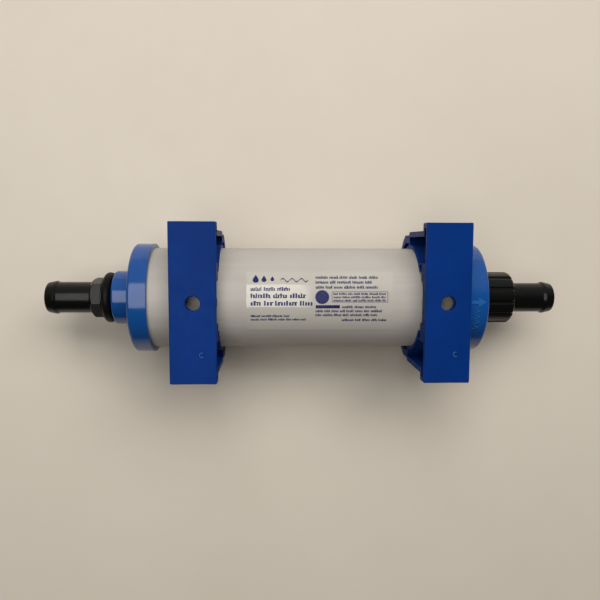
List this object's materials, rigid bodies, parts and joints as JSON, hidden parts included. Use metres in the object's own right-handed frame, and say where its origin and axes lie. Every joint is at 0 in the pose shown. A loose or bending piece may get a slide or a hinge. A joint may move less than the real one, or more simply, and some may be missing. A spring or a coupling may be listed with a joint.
{
  "type": "inline water filter",
  "caption": "Inline cartridge water filter: white tube with blue end caps, barbed hose tails at both ends and clip-on wall brackets.",
  "frame": {"origin": "on the resting surface, under the middle of the overall length, with the tube's axis 34.9 mm above it", "axes": "+X along the tube from the inlet to the outlet, +Z out of the brackets' mounting plates, +Y across the tube"},
  "size_m": [0.3262, 0.0946, 0.0779],
  "materials": {
    "white_plastic": "smooth white plastic, satin gloss",
    "label_film": "clear film with blue print",
    "blue_plastic": "moulded blue plastic, soft gloss",
    "bracket_plastic": "moulded blue plastic, satin",
    "black_plastic": "moulded black plastic, satin",
    "black_rubber": "smooth black rubber",
    "strainer_plastic": "natural white plastic",
    "screen_cloth": "fine woven screen",
    "felt": "needle felt",
    "kdf_media": "packed metal granules",
    "carbon_media": "packed granular carbon"
  },
  "bodies": {
    "left_bracket": {"left_bracket": "bracket_plastic"},
    "right_bracket": {"right_bracket": "bracket_plastic"},
    "filter": {"housing_tube": "white_plastic", "label": "label_film", "inlet_cap": "blue_plastic", "outlet_cap": "blue_plastic", "inlet_strainer_disc": "strainer_plastic", "outlet_strainer_disc": "strainer_plastic", "inlet_mesh_screen": "screen_cloth", "outlet_mesh_screen": "screen_cloth", "inlet_felt_pad": "felt", "outlet_felt_pad": "felt", "kdf_bed": "kdf_media", "media_divider_pad": "felt", "carbon_bed": "carbon_media"},
    "inlet_seal": {"inlet_seal_ring": "black_rubber"},
    "inlet_tail": {"inlet_hose_tail": "black_plastic"},
    "outlet_tail": {"outlet_hose_tail": "black_plastic", "hose_washer": "black_rubber"},
    "swivel_nut": {"swivel_nut": "black_plastic"}
  },
  "joints": [
    {"name": "filter_turn", "type": "hinge", "parent": "left_bracket", "child": "filter", "pos_m": [0, 0, 0.0345], "axis": [1, 0, 0], "continuous": true},
    {"name": "bracket_spacing", "type": "slide", "parent": "left_bracket", "child": "right_bracket", "axis": [-1, 0, 0], "range_m": [0, 0.118]},
    {"name": "inlet_unscrew_travel", "type": "slide", "parent": "filter", "child": "inlet_seal", "axis": [-1, 0, 0], "range_m": [-0.0004, 0.0099]},
    {"name": "inlet_unscrew_turn", "type": "hinge", "parent": "inlet_seal", "child": "inlet_tail", "pos_m": [-0.13, 0, 0.0345], "axis": [-1, 0, 0], "range_deg": [-80, 1980]},
    {"name": "swivel_travel", "type": "slide", "parent": "filter", "child": "outlet_tail", "axis": [1, 0, 0], "range_m": [0, 0.0088]},
    {"name": "swivel_nut_turn", "type": "hinge", "parent": "outlet_tail", "child": "swivel_nut", "pos_m": [0.12, 0, 0.0345], "axis": [1, 0, 0], "range_deg": [0, 1440]}
  ],
  "couplings": [
    {"joint": "inlet_unscrew_turn", "follows": "inlet_unscrew_travel", "rad_per_m": 3463.2},
    {"joint": "swivel_nut_turn", "follows": "swivel_travel", "rad_per_m": 2844.8}
  ]
}
